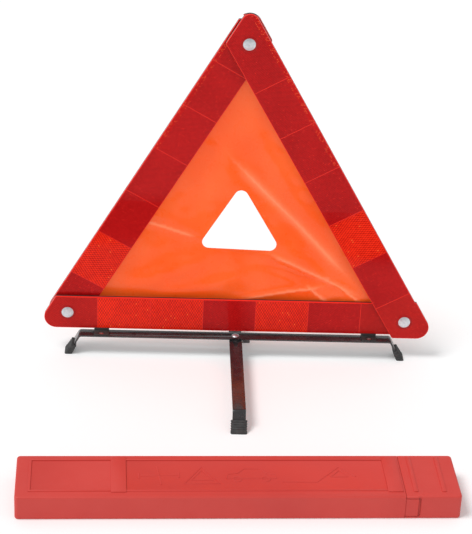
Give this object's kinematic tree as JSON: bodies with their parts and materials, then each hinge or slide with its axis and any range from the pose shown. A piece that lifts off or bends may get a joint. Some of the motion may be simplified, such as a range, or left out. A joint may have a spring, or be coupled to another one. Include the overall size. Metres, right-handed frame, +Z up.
{
  "type": "warning triangle",
  "caption": "Folding roadside warning triangle: red reflector arms round an orange sheet with a window, on a folding steel cross stand, with its long storage case.",
  "frame": {"origin": "on the ground, straight below the rivet that joins the side strip and the cross leg", "axes": "+X to the right along the lower arm, +Y to the back, +Z up"},
  "size_m": [0.469, 0.5183, 0.4309],
  "materials": {
    "reflector_red": "clear moulded reflector",
    "housing_black": "moulded, fine texture",
    "painted_steel": "gloss black paint",
    "boot_rubber": "matt rubber",
    "clip_plastic": "moulded",
    "rivet_aluminium": "satin",
    "zinc_steel": "zinc plated",
    "eyelet_metal": "pressed",
    "sheet_orange": "fluorescent film",
    "case_red": "satin moulded"
  },
  "bodies": {
    "stand": {"base_lens": "reflector_red", "base_housing": "housing_black", "side_strip": "painted_steel", "left_foot_boot": "boot_rubber", "right_foot_boot": "boot_rubber", "left_clip": "clip_plastic", "right_clip": "clip_plastic", "left_clip_screw": "zinc_steel", "right_clip_screw": "zinc_steel", "stand_rivet": "rivet_aluminium", "leg_washer": "zinc_steel", "left_rivet": "rivet_aluminium", "right_rivet": "rivet_aluminium", "left_spacer": "clip_plastic", "right_spacer": "clip_plastic", "left_rear_washer": "clip_plastic", "left_eyelet": "eyelet_metal", "right_eyelet": "eyelet_metal", "fluorescent_sheet": "sheet_orange"},
    "left_arm": {"left_arm_lens": "reflector_red", "left_arm_housing": "housing_black", "sheet_stud": "rivet_aluminium", "top_eyelet": "eyelet_metal"},
    "right_arm": {"right_arm_lens": "reflector_red", "right_arm_housing": "housing_black", "top_rivet": "rivet_aluminium", "latch_peg": "clip_plastic"},
    "cross_leg": {"cross_leg": "painted_steel", "front_foot_boot": "boot_rubber", "rear_foot_boot": "boot_rubber"},
    "case": {"case_body": "case_red"},
    "case_cap": {"case_cap": "case_red"}
  },
  "joints": [
    {"name": "left_arm_fold", "type": "hinge", "parent": "stand", "child": "left_arm", "pos_m": [-0.2, 0.0124, 0.0495], "axis": [0, 1, 0], "range_deg": [0, 60], "deforming": ["fluorescent_sheet"]},
    {"name": "right_arm_fold", "type": "hinge", "parent": "stand", "child": "right_arm", "pos_m": [0.2, 0, 0.0495], "axis": [0, 1, 0], "range_deg": [-60, 0]},
    {"name": "cross_leg_swing", "type": "hinge", "parent": "stand", "child": "cross_leg", "pos_m": [0, 0, 0.0214], "axis": [0, 0, -1], "range_deg": [0, 90]},
    {"name": "case_slide", "type": "slide", "parent": "stand", "child": "case", "axis": [0, -1, 0], "range_m": [0, 0.3]},
    {"name": "case_cap_swing", "type": "hinge", "parent": "case", "child": "case_cap", "pos_m": [0.18348, -0.32878, 0.0139], "axis": [0, 0, -1], "range_deg": [0, 110]}
  ],
  "couplings": [
    {"joint": "right_arm_fold", "follows": "left_arm_fold", "ratio": -1}
  ]
}
